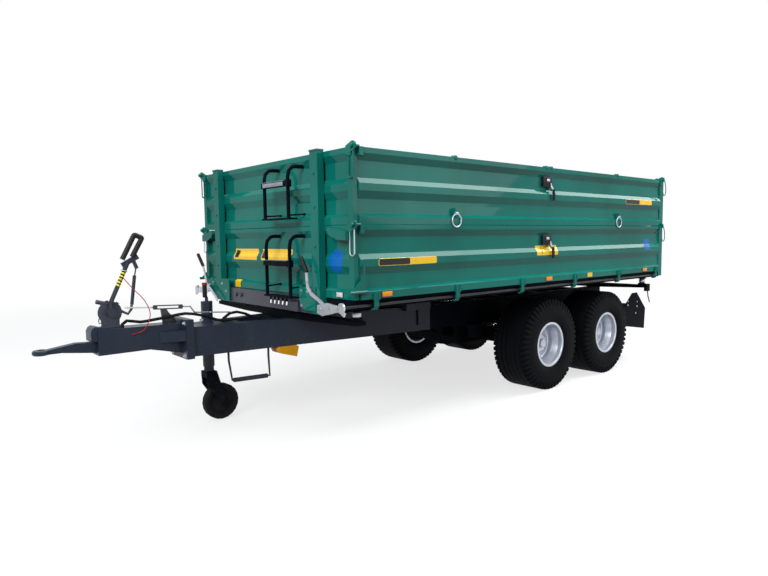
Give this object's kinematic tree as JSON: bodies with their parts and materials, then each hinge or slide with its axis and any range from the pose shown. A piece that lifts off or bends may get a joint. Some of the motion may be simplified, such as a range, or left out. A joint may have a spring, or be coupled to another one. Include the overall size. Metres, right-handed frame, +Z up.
{
  "type": "three-way tipping trailer",
  "caption": "Tandem-axle farm tipping trailer with a corrugated two-tier drop-side body that tips to either side or to the rear, parked on its drawbar jack.",
  "frame": {"origin": "on the ground below the middle of the trailer's box", "axes": "+Y towards the rear, -Y towards the drawbar eye, +X to the trailer's left, +Z up"},
  "size_m": [2.424, 6.322, 2.125],
  "materials": {
    "green": "satin paint",
    "steel_blue": "satin paint",
    "anthracite": "satin paint",
    "black": "satin paint",
    "rubber": "matt",
    "tyre_rubber": "matt",
    "silver": "silver paint",
    "chrome": "polished",
    "zinc": "zinc plated",
    "yellow": "moulded",
    "red": "sleeved cable"
  },
  "bodies": {
    "chassis": {"drawbar_eye": "steel_blue", "overrun_housing": "steel_blue", "drawbar_vee": "steel_blue", "chassis_frame": "black", "tip_outrigger_front": "black", "tip_outrigger_rear": "black", "rear_bumper": "black", "handbrake_quadrant": "anthracite", "handbrake_lever": "anthracite", "brake_rod": "zinc", "drawbar_hose": "rubber", "breakaway_cable": "red", "step_loop": "steel_blue", "wheel_chocks": "yellow", "jack_sleeve": "steel_blue", "ram_cradle": "black", "suspension_left": "black", "suspension_right": "black", "axle_front": "black", "axle_rear": "black"},
    "wheel_front_left": {"tyre_front_left": "tyre_rubber", "rim_front_left": "silver"},
    "wheel_front_right": {"tyre_front_right": "tyre_rubber", "rim_front_right": "silver"},
    "wheel_rear_left": {"tyre_rear_left": "tyre_rubber", "rim_rear_left": "silver"},
    "wheel_rear_right": {"tyre_rear_right": "tyre_rubber", "rim_rear_right": "silver"},
    "jack_inner": {"jack_leg": "steel_blue"},
    "jack_caster": {"jack_fork": "black"},
    "jack_roller": {"jack_wheel": "rubber"},
    "pivots_left": {"pivot_ball_front_left": "zinc", "pivot_ball_rear_left": "zinc"},
    "pivots_right": {"pivot_ball_front_right": "zinc", "pivot_ball_rear_right": "zinc"},
    "bed": {"bed_floor": "black", "front_apron": "anthracite", "front_wall_lower": "green", "front_wall_upper": "green", "ladder_lower": "black", "ladder_upper": "black", "front_stanchion_left": "green", "rear_post_left": "green", "locking_shaft_left": "black", "front_stanchion_right": "green", "rear_post_right": "green", "locking_shaft_right": "black", "side_wall_left_lower": "green", "side_wall_left_upper": "green", "side_wall_right_lower": "green", "side_wall_right_upper": "green", "rear_wall_lower": "green", "rear_wall_upper": "green"},
    "ram_tube": {"ram_barrel": "black"},
    "ram_tube_1": {"ram_stage_1": "chrome"},
    "ram_tube_2": {"ram_stage_2": "chrome"},
    "ram_tube_3": {"ram_stage_3": "chrome"},
    "ram_tube_4": {"ram_stage_4": "chrome"},
    "ram_tube_5": {"ram_stage_5": "chrome"}
  },
  "joints": [
    {"name": "spin_front_left", "type": "hinge", "parent": "chassis", "child": "wheel_front_left", "pos_m": [0.919, 0.991, 0.437], "axis": [1, 0, 0], "continuous": true},
    {"name": "spin_front_right", "type": "hinge", "parent": "chassis", "child": "wheel_front_right", "pos_m": [-0.919, 0.991, 0.437], "axis": [1, 0, 0], "continuous": true},
    {"name": "spin_rear_left", "type": "hinge", "parent": "chassis", "child": "wheel_rear_left", "pos_m": [0.919, 2.019, 0.437], "axis": [1, 0, 0], "continuous": true},
    {"name": "spin_rear_right", "type": "hinge", "parent": "chassis", "child": "wheel_rear_right", "pos_m": [-0.919, 2.019, 0.437], "axis": [1, 0, 0], "continuous": true},
    {"name": "jack_slide", "type": "slide", "parent": "chassis", "child": "jack_inner", "axis": [0, 0, 1], "range_m": [-0.25, 0.03]},
    {"name": "jack_swivel", "type": "hinge", "parent": "jack_inner", "child": "jack_caster", "pos_m": [-0.235, -1.865, 0.415], "axis": [0, 0, 1], "continuous": true},
    {"name": "jack_wheel_spin", "type": "hinge", "parent": "jack_caster", "child": "jack_roller", "pos_m": [-0.235, -1.775, 0.148], "axis": [1, 0, 0], "continuous": true},
    {"name": "tip_left", "type": "hinge", "parent": "chassis", "child": "pivots_left", "pos_m": [1.03, 0, 0.935], "axis": [0, 1, 0], "range_deg": [0, 45]},
    {"name": "tip_right", "type": "hinge", "parent": "pivots_left", "child": "pivots_right", "pos_m": [-1.03, 0, 0.935], "axis": [0, -1, 0], "range_deg": [0, 45]},
    {"name": "tip_rear", "type": "hinge", "parent": "pivots_right", "child": "bed", "pos_m": [0, 2.915, 0.935], "axis": [-1, 0, 0], "range_deg": [0, 50]},
    {"name": "ram_lean", "type": "hinge", "parent": "chassis", "child": "ram_tube", "pos_m": [0, 0.665, 0.45], "axis": [-1, 0, 0], "range_deg": [0, 20]},
    {"name": "ram_extend_1", "type": "slide", "parent": "ram_tube", "child": "ram_tube_1", "axis": [0, 0, 1], "range_m": [0, 0.362]},
    {"name": "ram_extend_2", "type": "slide", "parent": "ram_tube_1", "child": "ram_tube_2", "axis": [0, 0, 1], "range_m": [0, 0.362]},
    {"name": "ram_extend_3", "type": "slide", "parent": "ram_tube_2", "child": "ram_tube_3", "axis": [0, 0, 1], "range_m": [0, 0.362]},
    {"name": "ram_extend_4", "type": "slide", "parent": "ram_tube_3", "child": "ram_tube_4", "axis": [0, 0, 1], "range_m": [0, 0.362]},
    {"name": "ram_extend_5", "type": "slide", "parent": "ram_tube_4", "child": "ram_tube_5", "axis": [0, 0, 1], "range_m": [0, 0.362]}
  ],
  "couplings": [
    {"joint": "ram_lean", "follows": "tip_rear", "ratio": 0.4},
    {"joint": "ram_extend_1", "follows": "tip_rear", "m_per_rad": 0.41481},
    {"joint": "ram_extend_2", "follows": "tip_rear", "m_per_rad": 0.41481},
    {"joint": "ram_extend_3", "follows": "tip_rear", "m_per_rad": 0.41481},
    {"joint": "ram_extend_4", "follows": "tip_rear", "m_per_rad": 0.41481},
    {"joint": "ram_extend_5", "follows": "tip_rear", "m_per_rad": 0.41481}
  ]
}
